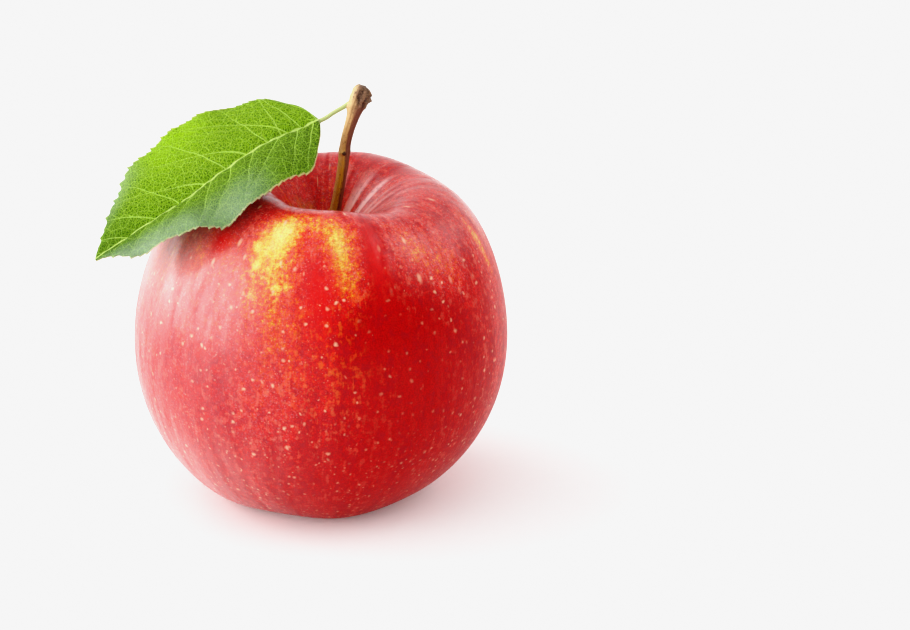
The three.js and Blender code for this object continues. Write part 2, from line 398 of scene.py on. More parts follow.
YELLOW_TO_RED = [
    (0.0, (0.88, 0.74, 0.20)),
    (0.18, (0.86, 0.54, 0.08)),
    (0.34, (0.82, 0.24, 0.022)),
    (0.49, (0.79, 0.070, 0.012)),
    (0.66, (0.70, 0.018, 0.012)),
    (0.92, (0.48, 0.003, 0.004)),
]
DARK_GRAIN = [(0.32, (0.58, 0.54, 0.57)), (0.64, (1.0, 1.0, 1.0))]
ROSE_HIGHLIGHT = (0.92, 0.50, 0.48)
VIVID_RED = (0.68, 0.009, 0.008)
DARK_RED = (0.26, 0.010, 0.022)
ROSE_MARK = (0.92, 0.26, 0.18)
ORANGE_MARK = (0.92, 0.24, 0.02)
CAVITY_GREEN = (0.36, 0.30, 0.04)
RUSSET = (0.20, 0.10, 0.03)
BASIN_OLIVE = (0.42, 0.33, 0.08)
LENTICEL = (0.92, 0.54, 0.34)
PALE_GRAIN = (0.90, 0.42, 0.45)
DULL_RED = (0.30, 0.10, 0.12)
HIGHLIGHT_WHITE = (0.94, 0.68, 0.66)
COAT_THINNEST = 0.16
SKIN_RELIEF = 0.06 * MM

skin = Finish("waxy_apple_skin")
place = skin.millimetres()
meridian = skin.marked("meridian", "Vector")
blush = skin.marked("blush")
hollow = skin.marked("cavity")
base_hollow = skin.marked("basin")
painted_wall_highlight = skin.marked("painted_wall_highlight")
painted_left_highlight = skin.marked("painted_left_highlight")
dull = skin.marked("dull")
vivid_red_and_leaf_shadow = skin.marked("vivid_red_and_leaf_shadow")
warm = skin.marked("warm")

# Four sizes of mottling, and streaks of two widths along the meridians.
grain = skin.noise(place, 2.3, 2.0, 0.8)
clump = skin.noise(place, 1.0, 2.0, 0.6)
patchy = skin.noise(place, 0.62, 2.0, 0.7)
blotch = skin.noise(place, 0.36, 3.0, 0.6)
drawn = skin.vector("MULTIPLY", meridian, (40.0, 40.0, 7.0))
stripe = skin.noise(drawn, 0.42, 3.0, 0.6)
fine_stripe = skin.noise(drawn, 1.3, 2.0, 0.6)

# The ground turns from yellow to deep red as the blush thickens, unevenly in the middle of the
# range, and a finer dark grain goes over it all.
uneven = 0.48 + blush.fade(1.05, 0.75) * 0.47 - blush.fade(0.55, 0.2) * 0.45
tone = blush + ((grain - 0.5) * 1.0 + (clump - 0.5) * 1.2) * uneven + (blotch - 0.5) * 0.45
tone = tone + (stripe - 0.5) * 0.30 + (fine_stripe - 0.5) * 0.30
colour = skin.ramp(tone * 0.75, *YELLOW_TO_RED)
shade = skin.ramp(skin.noise(place, 3.0, 1.0, 0.5), *DARK_GRAIN)
colour = skin.mix(0.8, colour, shade, "MULTIPLY")
# Painted highlight: pale rose rays on the right wall of the cavity.
wall_highlight = (painted_wall_highlight + (fine_stripe - 0.5) * 0.6 * painted_wall_highlight).fade(0.1, 0.95)
colour = skin.mix(wall_highlight * 0.8, colour, ROSE_HIGHLIGHT)
# Clear red stripes, and painted shadow under the leaf's tip where the leaf blocks the highlight.
colour = skin.mix(vivid_red_and_leaf_shadow * 0.80, colour, VIVID_RED)

# Larger marks, dark ones and rosy ones.
dark_mark = (patchy + (stripe - 0.5) * 0.6).fade(0.52, 0.30) * 0.42
dark_mark = dark_mark * blush.fade(0.6, 0.95) * (1 - vivid_red_and_leaf_shadow * 0.6)
colour = skin.mix(dark_mark, colour, DARK_RED)
flush = (patchy + (fine_stripe - 0.5) * 0.6).fade(0.50, 0.72) * 0.24 * blush.fade(1.6, 1.0)
flushed = skin.mix(warm, ROSE_MARK, ORANGE_MARK)
colour = skin.mix(flush * (1 + warm * 0.4) * (1 - vivid_red_and_leaf_shadow * 0.9), colour, flushed)

# Green and russet on the floor of the cavity, and olive in the basin.
green = (hollow * (0.35 + blotch)).fade(0.60, 1.1)
colour = skin.mix(green * 0.8, colour, CAVITY_GREEN)
russet = (hollow.fade(0.8, 1.0) + (grain - 0.5)).fade(0.6, 1.0)
colour = skin.mix(russet * 0.5, colour, RUSSET)
colour = skin.mix(base_hollow.fade(0.2, 1.0) * 0.6, colour, BASIN_OLIVE)

# Lenticels: large and few on the belly, close together at the base, drawn out on the shoulder,
# and tiny ones everywhere that the blush isn't thick.
height_share = skin.axis(meridian, "Z")
warp = skin.noise(place, 0.8, 1.0, out="Color")
warped = skin.vector("ADD", place, skin.vector("SCALE", warp, 0.9))
belly = height_share.fade(0.95, 0.55)
big_dots = dots(skin, warped, 0.46, 0.66, 1.0) * belly
base_dots = dots(skin, warped, 0.62, 0.52, 1.0) * height_share.fade(0.1, -0.55)
tiny_dots = dots(skin, place, 1.3, 0.24, 0.9) * blush.fade(1.25, 0.9)
drawn_out = skin.vector("MULTIPLY", meridian, (28.0, 28.0, 14.0))
shoulder_dots = dots(skin, drawn_out, 0.40, 0.6, 0.8)
shoulder_dots = shoulder_dots * height_share.fade(0.35, 0.7) * (1 - hollow)
dot = big_dots.most(base_dots * 0.9).most(shoulder_dots * 0.7).most(tiny_dots * 0.4)
colour = skin.mix(dot * (0.22 + blush.fade(1.45, 1.0) * 0.62), colour, LENTICEL)

# A pale grain over all but the thickest blush, then the duller side, then the painted highlight on the
# left.
pale = skin.noise(place, 2.0, 2.0, 0.7).fade(0.5, 0.8)
colour = skin.mix(pale * 0.34 * blush.fade(1.25, 0.9) * (1 - warm * 0.75), colour, PALE_GRAIN)
colour = skin.mix(dull * (0.24 + (blotch - 0.5) * 0.4), colour, DULL_RED)
# Painted highlight on the left, grainy and streaked along the meridians.
painted_sheen = 0.60 + (stripe - 0.5) * 0.7 + (grain - 0.5) * 0.5
colour = skin.mix(painted_left_highlight * (1 - vivid_red_and_leaf_shadow) * painted_sheen, colour, HIGHLIGHT_WHITE)

# The wax shines most on the left and on the shoulder. It is rubbed thin elsewhere, and dull on
# the left wall of the cavity.
east = skin.axis(meridian, "X")
north = skin.axis(meridian, "Y")
left = (east * -0.98 + north * -0.17).fade(-0.15, 0.85)
polished = left.most(height_share.fade(0.45, 0.85)) * (1 - COAT_THINNEST)
wax = skin.noise(place, 0.9, 4.0, 0.65)
streaky = (0.70 + (stripe - 0.5) * 1.4 + (wax - 0.5) * 0.6).fade(0.1, 1.0) * 1.1
dulled = 1 - hollow.fade(0.0, 0.3) * east.fade(0.5, -0.3) * 0.85
skin.set(
    Base_Color=colour,
    Roughness=0.34 + wax * 0.16 + dot * 0.2,
    Coat_Weight=(COAT_THINNEST + polished) * streaky * dulled,
    Coat_Roughness=0.24,
    Specular_IOR_Level=0.06,
)
relief = (grain - 0.5) * 0.6 + (fine_stripe - 0.5) * 1.2 + dot * 0.5
skin.set(Normal=skin.bump(relief, SKIN_RELIEF))
fruit.data.materials.append(skin.material)
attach(fruit, "root")
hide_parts("apple_body")


# ---- The stem ----
# A woody stem, grown out of the floor of the cavity. Its bark is ridged along its length, with a
# bud's scar over halfway up, and it swells into the scaly head where it was joined to the spur.

# Points up the middle of the stem, and its radius at shares of its length.
STEM_LINE = [
    (0.9, 0, 52.5),
    (1.5, 0, 56.1),
    (3.5, 0, 63.5),
    (5.1, 0, 72.4),
    (5.9, 0, 78.6),
    (7.6, 0, 84.7),
    (9.0, 0, 88.6),
    (9.6, 0, 90.2),
]
STEM_GIRTH = [
    (0.0, 1.9),
    (0.07, 1.4),
    (0.14, 1.18),
    (0.3, 1.08),
    (0.46, 1.05),
    (0.59, 1.10),
    (0.625, 1.20),
    (0.66, 1.08),
    (0.76, 1.12),
    (0.82, 1.30),
    (0.88, 1.68),
    (0.93, 2.02),
    (0.965, 2.0),
    (0.99, 1.55),
    (1.0, 1.2),
]
SCAR_SHARE = 0.615
SCAR_SWELL = 0.42
SHELF_SHARE = 0.872
SHELF_SWELL = 0.42
BARK_STRETCH = 18
HEAD_SHARE = 0.87
HEAD_BLEND = 0.06
STEM_CROWN = 0.15
STEM_RINGS = 420
STEM_SIDES = 110


def curve(points, share):
    """Points at shares 0 to 1 along a smooth curve through the given points: the cubic through
    each pair, with the slope at each point set by its two neighbours."""
    points = np.asarray(points, dtype=float)
    last = len(points) - 1
    step = np.clip(np.floor(share * last).astype(int), 0, last - 1)
    f = (share * last - step).reshape(-1, 1)
    run_in = 2 * points[0] - points[1]
    run_out = 2 * points[-1] - points[-2]
    before = np.where(step[:, None] > 0, points[(step - 1).clip(0)], run_in)
    after = np.where(step[:, None] < last - 1, points[(step + 2).clip(0, last)], run_out)
    here, beyond = points[step], points[step + 1]
    bend = 2 * before - 5 * here + 4 * beyond - after
    twist = 3 * here - before - 3 * beyond + after
    return (2 * here + (beyond - before) * f + bend * f**2 + twist * f**3) / 2


def even(points, count):
    """The same curve at evenly spaced distances along its length."""
    fine = curve(points, np.linspace(0, 1, 2000))
    gone = np.concatenate([[0], np.cumsum(np.linalg.norm(np.diff(fine, axis=0), axis=1))])
    wanted = np.linspace(0, gone[-1], count)
    return np.stack([np.interp(wanted, gone, fine[:, k]) for k in range(3)], axis=-1)


def unit(v):
    """The same directions, each with a length of 1."""
    return v / np.linalg.norm(v, axis=-1, keepdims=True)


def bar(line, girth, turns):
    """Rings round a line of points: a cosine along one axis across the line and a sine along the
    other, times the girth at each place."""
    along = unit(np.gradient(line, axis=0))
    side = unit(np.cross(along, [0.0, 1.0, 0.0]))
    over = np.cross(along, side)
    spoke = np.cos(turns)[..., None] * side[:, None] + np.sin(turns)[..., None] * over[:, None]
    return line[:, None] + spoke * girth[..., None]


stem_line = even(STEM_LINE, STEM_RINGS) + placing
share = np.linspace(0, 1, STEM_RINGS)[:, None]
turns = np.linspace(0, 2 * math.pi, STEM_SIDES, endpoint=False)[None, :]
girth = np.interp(share, *np.array(STEM_GIRTH).T)
girth = girth + 0 * turns

# Coarse and fine ridges run along it. The head is knotted and scaly, most of all on the right.
ridges = 0.045 * waves(21, 10, (3, 9), 6, turns, share)
ridges = ridges + 0.028 * waves(22, 16, (8, 22), 18, turns, share)
head = np.clip((share - HEAD_SHARE) / HEAD_BLEND, 0, 1)
rough_side = 0.5 - 0.5 * np.cos(turns)
knots = (0.10 + 0.16 * rough_side) * waves(23, 18, (1, 6), 60, turns, share)
knots = knots + 0.10 * rough_side * waves(24, 24, (4, 14), 130, turns, share)
scales = (0.06 + 0.16 * rough_side) * abs(waves(25, 12, (2, 9), 170, turns, share))

# The bud's scar stands out at the front, and the stem swells on the left under the leaf's stalk.
front_side = np.exp(-((turns - 1.2) ** 2) / 0.25)
bud = SCAR_SWELL * np.exp(-(((share - SCAR_SHARE) / 0.012) ** 2)) * front_side
leaf_side = np.exp(-(((turns - 2 * math.pi * (turns > math.pi)) / 0.8) ** 2))
shelf = SHELF_SWELL * np.exp(-(((share - SHELF_SHARE) / 0.022) ** 2)) * leaf_side
girth = girth * (1 + ridges) + head * (knots + scales - 0.12) + bud + shelf
stem_rings = bar(stem_line, girth, turns)
stem_top = stem_line[-1] + np.array([0, 0, STEM_CROWN])
stem = skin_mesh("stem_bark", stem_rings[:, ::-1], stem_line[0], stem_top)
mark(stem, "up_stem", (share + 0 * turns)[:, ::-1], 0.0, 1.0)

# The bark's fibres are drawn on how far right, how far forward and how far up the stem they are.
rightward = -np.cos(turns) + 0 * share
forward = np.sin(turns) + 0 * share
upward = share * BARK_STRETCH + 0 * turns
round_rings = np.stack([rightward, forward, upward], -1)
mark(stem, "round_stem", round_rings[:, ::-1], (0, 0, 0), (0, 0, BARK_STRETCH))
mark(stem, "bark_depth", (knots + scales + 8 * ridges)[:, ::-1] + 0 * girth, 0.0, 0.0)

FOOT_TO_HEAD = [
    (0.0, (0.20, 0.16, 0.012)),
    (0.25, (0.40, 0.25, 0.012)),
    (0.5, (0.56, 0.29, 0.022)),
    (0.64, (0.58, 0.32, 0.11)),
    (0.85, (0.46, 0.28, 0.13)),
    (1.0, (0.34, 0.20, 0.10)),
]
SHADE_RED_BROWN = (0.15, 0.040, 0.028)
HIGHLIGHT_PALE_BARK = (0.82, 0.60, 0.30)
SCALE_GAP = (0.060, 0.030, 0.020)
SCALE_BROWN = (0.24, 0.13, 0.075)
BARK_SPECK = (0.06, 0.025, 0.015)
BUD_SCAR = (0.03, 0.012, 0.01)
BARK_RELIEF = 0.12 * MM

bark = Finish("apple_stem_bark")
place = bark.millimetres()
up_stem = bark.marked("up_stem")
round_stem = bark.marked("round_stem", "Vector")
depth = bark.marked("bark_depth")
side = bark.axis(round_stem, "X")
front = bark.axis(round_stem, "Y")
fibre = bark.noise(bark.vector("MULTIPLY", round_stem, (5.0, 5.0, 0.5)), 1.0, 4.0, 0.7)
fleck = bark.noise(place, 1.1, 3.0, 0.6)
pit = bark.noise(place, 2.6, 2.0, 0.6)

# Green-brown at the foot. The red-brown down the right side is painted shade, and the paler
# fibres down the left are a painted highlight.
colour = bark.ramp(up_stem + (fleck - 0.5) * 0.16, *FOOT_TO_HEAD)
shaded = (side * 0.5 + 0.5 + (fibre - 0.5) * 0.6 + up_stem.fade(0.5, 0.66) * 0.10).fade(0.52, 0.74)
colour = bark.mix(shaded * 0.9, colour, SHADE_RED_BROWN)
# Painted highlight down the left side of the stem.
pale = (side * -0.5 + 0.5 + (fibre - 0.5) * 0.5).fade(0.62, 1.0)
colour = bark.mix(pale * 0.5, colour, HIGHLIGHT_PALE_BARK)

# The head's right side is scaly and darker, scale by scale: real scales, with painted shade on
# the side away from the light. The bud's scar is nearly black.
head_share = (up_stem + (fleck - 0.5) * 0.06).fade(0.86, 0.93)
proud = (depth * 0.6 + (pit - 0.5) * 2.4 + (fleck - 0.5)).fade(-0.5, 0.5)
scaly = bark.mix(proud, SCALE_GAP, SCALE_BROWN)
scaly_shaded_head = (side * 0.5 + 0.5 + (up_stem - 0.95) * 4.0 + (fleck - 0.5) * 0.9).fade(0.05, 0.42)
colour = bark.mix(head_share * scaly_shaded_head, colour, scaly)
speck = (pit * (0.5 + fleck)).fade(0.60, 0.72)
colour = bark.mix(speck * 0.6, colour, BARK_SPECK)
across_scar = (side + 0.05 + (pit - 0.5) * 0.5) * 3.0
up_scar = (up_stem - SCAR_SHARE) * 75.0
scar = (1 - across_scar * across_scar - up_scar * up_scar).fade(-0.3, 0.4) * front.fade(0.0, 0.3)
colour = bark.mix(scar * 0.9, colour, BUD_SCAR)
bark.set(Base_Color=colour, Roughness=0.52 + fibre * 0.3, Specular_IOR_Level=0.35)
bark.set(Normal=bark.bump(fibre + pit * 0.5, BARK_RELIEF, 0.8))
stem.data.materials.append(bark.material)
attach(stem, "root")
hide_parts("stem")


# ---- The leaf ----
# One leaf on its own stalk, which grows out of the stem just under its head. The blade is a thin
# toothed sheet, sunk along its midrib and side veins, and it arches down over the shoulder.

# Points down the stalk, and then rows across the blade from its foot to its tip. Each row has a
# point on the far edge, one on the midrib and one on the near edge.
STALK = [(6.6, 0, 86.6), (5.2, -0.1, 85.7), (3.2, -0.4, 84.6), (1.7, -0.6, 83.6), (0.4, -0.8, 83.0)]
BLADE = [
    [(0.2, -0.3, 83.1), (0.4, -0.8, 83.0), (0.5, -1.3, 82.8)],
    [(-3.3, 3.4, 84.5), (-1.1, -1.1, 82.6), (0.7, -5.6, 81.2)],
    [(-7.0, 6.1, 85.0), (-3.2, -1.6, 81.9), (0.0, -12.0, 78.1)],
    [(-10.7, 7.9, 85.1), (-5.8, -2.2, 81.1), (-1.2, -15.4, 76.6)],
    [(-15.5, 9.5, 83.9), (-9.8, -3.5, 79.6), (-5.0, -17.6, 75.5)],
    [(-21.1, 9.8, 82.3), (-14.6, -5.2, 77.3), (-9.7, -20.0, 73.7)],
    [(-26.8, 9.5, 80.9), (-19.1, -6.9, 74.5), (-14.0, -22.8, 70.9)],
    [(-31.5, 8.5, 78.2), (-23.6, -8.5, 71.6), (-18.0, -25.3, 68.0)],
    [(-34.0, 7.3, 76.2), (-26.2, -9.4, 69.6), (-20.6, -25.8, 67.5)],
    [(-37.3, 5.4, 73.8), (-29.8, -10.6, 67.4), (-24.5, -26.2, 67.9)],
    [(-41.1, 2.0, 70.4), (-34.5, -12.1, 64.8), (-30.1, -25.7, 65.1)],
    [(-43.4, -4.0, 65.7), (-39.2, -13.4, 62.0), (-36.2, -23.2, 60.9)],
    [(-45.2, -10.1, 61.0), (-43.3, -14.4, 59.3), (-42.0, -18.7, 58.9)],
    [(-46.6, -14.8, 57.2), (-46.5, -15.0, 57.2), (-46.4, -15.2, 57.1)],
]
BLADE_LENGTH = 55.8
STALK_GIRTH = 0.46
BLADE_HALF_THICKNESS = 0.16
TOOTH_SPACING = 1.9
TOOTH_DEPTH = 0.85
NEAR_EDGE_LONGER = 1.16
FAR_EDGE_LONGER = 1.22
RIB_TUCK = 0.34
VEIN_TUCK = 0.16
PILLOW = 0.16
BOW = 0.9
RIPPLE = 0.35
CRINKLE = 0.06
NO_VEIN = 9.0
BLADE_ROWS = 330
BLADE_COLUMNS = 120

# Each side vein: which half it is on (1 far, -1 near), where it leaves the midrib, where it
# would meet the edge, both in mm along the midrib, and how it curves on its way.
SIDE_VEINS = [
    (1, 0.5, 5.5, 1.6), (1, 4.0, 8.6, 1.0), (1, 7.0, 29.0, 1.12), (1, 8.5, 8.9, 1.0),
    (1, 17.0, 42.0, 1.3), (1, 27.8, 47.5, 1.25), (1, 22.5, 33.0, 1.2), (1, 34.5, 44.0, 1.1),
    (1, 40.1, 50.0, 1.0), (1, 47.5, 53.0, 1.0), (1, 12.0, 17.5, 0.9),
    (-1, 1.6, 7.5, 1.2), (-1, 5.0, 10.8, 1.1), (-1, 9.6, 25.0, 1.3), (-1, 15.5, 22.5, 1.1),
    (-1, 21.1, 34.0, 1.7), (-1, 31.3, 43.0, 1.2), (-1, 26.3, 35.0, 1.2), (-1, 36.5, 45.0, 1.1),
    (-1, 41.4, 49.0, 1.1), (-1, 47.8, 52.5, 1.0),
]

share = np.linspace(0, 1, BLADE_ROWS)
far_edge, midrib, near_edge = (curve([row[k] for row in BLADE], share) + placing for k in range(3))
gone = np.concatenate([[0], np.cumsum(np.linalg.norm(np.diff(midrib, axis=0), axis=1))])
along_rib = unit(np.gradient(midrib, axis=0))
to_near, to_far = near_edge - midrib, far_edge - midrib
over = unit(np.cross(along_rib, to_near - to_far))

# Across each row, v runs from 1 at the near edge to -1 at the far edge above the blade, and
# back again below it. On the flat sheet, a is the distance down the midrib and b the distance
# out from it, less than nothing on the far half.
ring = np.arange(2 * BLADE_COLUMNS)
v = 1 - 2 * ring / BLADE_COLUMNS
v = np.where(ring <= BLADE_COLUMNS, v, -2 - v)[None, :]
above = np.where((ring > 0) & (ring < BLADE_COLUMNS), 1.0, -1.0)[None, :]
above = np.where(abs(v) == 1, 0.0, above)
half = np.where(v[..., None] >= 0, to_near[:, None], to_far[:, None])
wide = np.linalg.norm(half, axis=-1)
reach = half * abs(v)[..., None]
b = wide * abs(v) * np.sign(v)
a = gone[:, None] + 0 * v


def teeth(distance, spacing):
    """A saw's outline along the edge: a slow rise towards the tip of the leaf, then a quick fall."""
    phase = (distance / spacing) % 1
    return np.where(phase < 0.78, (phase / 0.78) ** 1.4, (1 - phase) / 0.22)


# Each edge is longer than the midrib, and its teeth differ a little in length and spacing. They
# lean towards the tip.
edge_gone = gone[:, None] * np.where(v >= 0, NEAR_EDGE_LONGER, FAR_EDGE_LONGER)
uneven = 0.35 * np.sin(edge_gone * 0.9) + 0.25 * np.sin(edge_gone * 2.3 + 1)
tooth = teeth(edge_gone + uneven * 0.5, TOOTH_SPACING) * (0.75 + 0.25 * np.sin(edge_gone * 1.7))
fade_ends = np.clip(gone / 6, 0, 1)[:, None] * np.clip((gone[-1] - gone) / 2, 0, 1)[:, None]
out = TOOTH_DEPTH * (tooth - 0.5) * abs(v) ** 16 * fade_ends
lean = unit(half + 1e-9) + 0.8 * along_rib[:, None]
reach = reach + lean * out[..., None]

# How far each point is from the nearest side vein of its own half, in mm, up to NO_VEIN.
side_distance = np.full(a.shape, NO_VEIN)
for which, start, stop, bend in SIDE_VEINS:
    edge_wide = np.interp(stop, gone, wide[:, 0] if which < 0 else wide[:, BLADE_COLUMNS])
    across_share = (abs(b) / max(edge_wide, 1.0)).clip(0, 1.3)
    line_at = start + (stop - start) * across_share**bend + 0.12 * np.sin(abs(b) * 0.9 + 3 * start)
    slope = (stop - start) / max(edge_wide, 1.0)
    distance = abs(a - line_at) / math.sqrt(1 + slope**2)
    same_half = (np.sign(v) != which) | (abs(v) < 0.01)
    side_distance = np.where(same_half, np.minimum(side_distance, distance), side_distance)

rib_distance = abs(b)

# How the sheet lies: sunk along the midrib and the side veins, raised in pillows between them,
# bowed up on each half, rippled at the edges and finely crinkled all over.
tuck = -RIB_TUCK * np.exp(-((rib_distance / 1.1) ** 2)) * np.clip(gone / 4, 0, 1)[:, None]
sunk = -VEIN_TUCK * np.exp(-((side_distance / 0.8) ** 2)) * (1 - abs(v) ** 4)
pillow = PILLOW * np.clip(side_distance / 3, 0, 1) * (1 - abs(v) ** 2)
bow = BOW * (1 - (2 * abs(v) - 1) ** 2) * np.clip(wide / 14, 0, 1)
ripple = RIPPLE * np.sin(a * 0.62 + np.where(v > 0, 0.5, 2.2)) * abs(v) ** 3
ripple = ripple * np.clip(wide / 10, 0, 1)
crinkle = CRINKLE * waves(33, 16, (1, 2), 30, 0 * a, a / 12 + b / 9) * np.clip(wide / 8, 0, 1)
lift = (tuck + sunk + pillow + bow + ripple + crinkle) * np.clip(gone / 3, 0, 1)[:, None]

# The foot is round like the stalk and soon flattens into the thin blade, and the midrib stands
# out underneath.
blend = np.clip(gone / 3.5, 0, 1)[:, None]
power = 2 + 10 * blend
thick = STALK_GIRTH * (1 - blend) + BLADE_HALF_THICKNESS * blend
rib_below = (0.5 * (1 - gone / gone[-1]) + 0.12)[:, None]
rib_below = rib_below * np.exp(-((rib_distance / 0.55) ** 2)) * (above < 0) * blend
body = thick * (1 - abs(v).clip(0, 1) ** power) ** 0.5 * above - rib_below
blade_rings = midrib[:, None] + reach + over[:, None] * (lift + body)[..., None]

# The stalk's rings have the same points round them as the blade's, so that the two join.
stalk_line = even(STALK, 60)[:-2] + placing
stalk_along = unit(np.gradient(stalk_line, axis=0))
stalk_side = unit(to_near[0] - to_far[0])
stalk_side = unit(stalk_side - (stalk_along @ stalk_side)[:, None] * stalk_along)
stalk_over = np.cross(stalk_along, stalk_side)
round_v = np.sqrt((1 - v**2).clip(0)) * above
spoke = v[..., None] * stalk_side[:, None] + round_v[..., None] * stalk_over[:, None]
swelling = 1 + 0.12 * np.exp(-((np.arange(len(stalk_line)) / 12.0) ** 2))
stalk_rings = stalk_line[:, None] + spoke * (STALK_GIRTH * swelling)[:, None, None]

leaf_rings = np.concatenate([stalk_rings, blade_rings])
leaf = skin_mesh("leaf_blade", leaf_rings, stalk_line[0], midrib[-1])
stalk_rows = np.zeros((len(stalk_line), 2 * BLADE_COLUMNS))


def with_stalk(values, stalk_value):
    """The blade's values, after one value for all the rings of the stalk."""
    return np.concatenate([stalk_rows + stalk_value, values + 0 * a])


mark(leaf, "from_side_vein", with_stalk(side_distance, NO_VEIN), NO_VEIN, 0.0)
mark(leaf, "from_midrib", with_stalk(rib_distance, 0.0), 0.0, 0.0)
mark(leaf, "toward_edge", with_stalk(abs(v), 0.0), 0.0, 1.0)
mark(leaf, "half", with_stalk(np.clip(b / 2.0, -1, 1), 0.0), 0.0, 0.0)
mark(leaf, "down_blade", with_stalk(a / gone[-1], 0.0), 0.0, 1.0)
sheet_place = np.stack([with_stalk(a, 0.0), with_stalk(b, 0.0), with_stalk(above * 0.0, 0.0)], -1)
mark(leaf, "on_blade", sheet_place, (0, 0, 0), (BLADE_LENGTH, 0, 0))

FAR_BACKLIT_GREEN = (0.052, 0.122, 0.003)
NEAR_UNLIT_GREEN = (0.028, 0.066, 0.006)
BACKLIT_GLOW_GREEN = (0.22, 0.44, 0.002)
MOTTLED_GREEN = (0.07, 0.17, 0.010)
DARK_GREEN = (0.012, 0.048, 0.002)
TIP_GREEN = (0.030, 0.085, 0.003)
FINE_VEINLET = (0.28, 0.48, 0.01)
VEINLET = (0.32, 0.50, 0.04)
CROSS_VEIN = (0.38, 0.58, 0.10)
SIDE_VEIN = (0.42, 0.62, 0.12)
MIDRIB = (0.48, 0.64, 0.18)
DRY_RIM = (0.66, 0.50, 0.26)
LEAF_SHEEN = (0.20, 0.30, 0.19)
STALK_GREEN = (0.42, 0.44, 0.22)
LEAF_RELIEF = 0.12 * MM

blade = Finish("leaf_blade_green")
on_blade = blade.marked("on_blade", "Vector")
side_gap = blade.marked("from_side_vein")
rib_gap = blade.marked("from_midrib")
edge = blade.marked("toward_edge")
half_mark = blade.marked("half")
down = blade.marked("down_blade")

# Three sizes of veinlets between the side veins.
wobble = blade.noise(on_blade, 0.9, out="Color")
wobble = blade.vector("SCALE", wobble, 0.9)
netted = blade.vector("ADD", on_blade, wobble)
net = blade.cells(netted, 1.3, "DISTANCE_TO_EDGE", flat=True)
fine_net = blade.cells(netted, 2.6, "DISTANCE_TO_EDGE", flat=True)
net_line = 1 - net.fade(0.02, 0.15)
cross_net = blade.cells(netted, 0.42, "DISTANCE_TO_EDGE", flat=True)
cross_line = 1 - cross_net.fade(0.012, 0.045)
fine_line = 1 - fine_net.fade(0.03, 0.28)
mottle = blade.noise(on_blade, 0.16, 3.0, 0.6)
speckle = blade.noise(on_blade, 2.3, 2.0, 0.8)

# The near half is darker and the far half brighter: partly the leaf's own colour, partly painted
# light. The far half is painted as lit through from behind, yellower towards its edge, halfway
# down the blade.
near = half_mark.fade(-0.4, 0.4)
from_middle = (down - 0.53) * 4.8
backlit_glow = (1 - from_middle * from_middle).fade(0.0, 1.0)
green = blade.mix(near, FAR_BACKLIT_GREEN, NEAR_UNLIT_GREEN)
green = blade.mix(backlit_glow * (1 - near) * edge.fade(0.1, 0.9), green, BACKLIT_GLOW_GREEN)
green = blade.mix(mottle.fade(0.35, 0.7) * 0.35, green, MOTTLED_GREEN)
dark = (1 - speckle).fade(0.42, 0.60)
green = blade.mix(dark * 0.78, green, DARK_GREEN)
green = blade.mix(fine_line * 0.62 * (1 - near * 0.45), green, FINE_VEINLET)
green = blade.mix(net_line * (0.62 - near * 0.26), green, VEINLET)
green = blade.mix(down.fade(0.70, 0.95) * 0.50, green, TIP_GREEN)
green = blade.mix(cross_line * 0.40, green, CROSS_VEIN)
side_vein = 1 - side_gap.fade(0.03, 0.20 - 0.08 * edge)
green = blade.mix(side_vein * (0.85 - edge * 0.35), green, SIDE_VEIN)
rib = 1 - rib_gap.fade(0.14, 0.38 - 0.18 * down)
green = blade.mix(rib * 0.9, green, MIDRIB)

# A dry rim on the teeth, a painted sheen on both halves, a whitish reflection that the coat
# follows, and a paler stalk.
rim = edge.fade(0.958, 0.985)
green = blade.mix(rim * (0.25 + near * 0.5), green, DRY_RIM)
near_sheen = near * edge.fade(0.2, 0.9) * down.fade(0.2, 0.4) * down.fade(1.05, 0.85)
far_sheen = (1 - near) * edge.fade(0.45, 1.0) * down.fade(0.62, 0.76) * down.fade(0.94, 0.84)
painted_sheen = near_sheen + far_sheen * 0.6
green = blade.mix(painted_sheen * 0.45, green, LEAF_SHEEN)
green = blade.mix(down.fade(0.012, 0.0) * 0.75, green, STALK_GREEN)
blade.set(
    Base_Color=green,
    Roughness=0.55 + speckle * 0.16,
    Specular_IOR_Level=0.12,
    Coat_Weight=painted_sheen * 0.6,
    Coat_Roughness=0.45,
    Subsurface_Weight=0.2,
    Subsurface_Radius=(0.6, 1.0, 0.15),
    Subsurface_Scale=0.0010,
)
relief = net.fade(0.0, 0.30) * 0.8 + fine_net.fade(0.0, 0.3) * 0.5 + side_vein * 0.6 + rib * 0.6
blade.set(Normal=blade.bump(relief, LEAF_RELIEF, 0.9))
leaf.data.materials.append(blade.material)
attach(leaf, "root")
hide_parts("leaf")


# ---- The calyx ----
# Underneath, in the basin, are what is left of the flower: five dry sepals, curled back from the
# ring of the calyx, and a tuft of dry stamens. They grow from the fruit.

CALYX_RADIUS = 3.0
SEPAL_LENGTH = 6.4
SEPAL_WIDTH = 2.7
SEPAL_HALF_THICKNESS = 0.16
SEPAL_RINGS = 70
SEPAL_SIDES = 48
CALYX_SUNK = 0.8
calyx_floor = fruit_shape(np.array([-math.pi / 2]), np.zeros(1))[0, 2] - settle
calyx_centre = np.array([LEAN * (calyx_floor - EQUATOR), 0, calyx_floor - CALYX_SUNK]) + placing


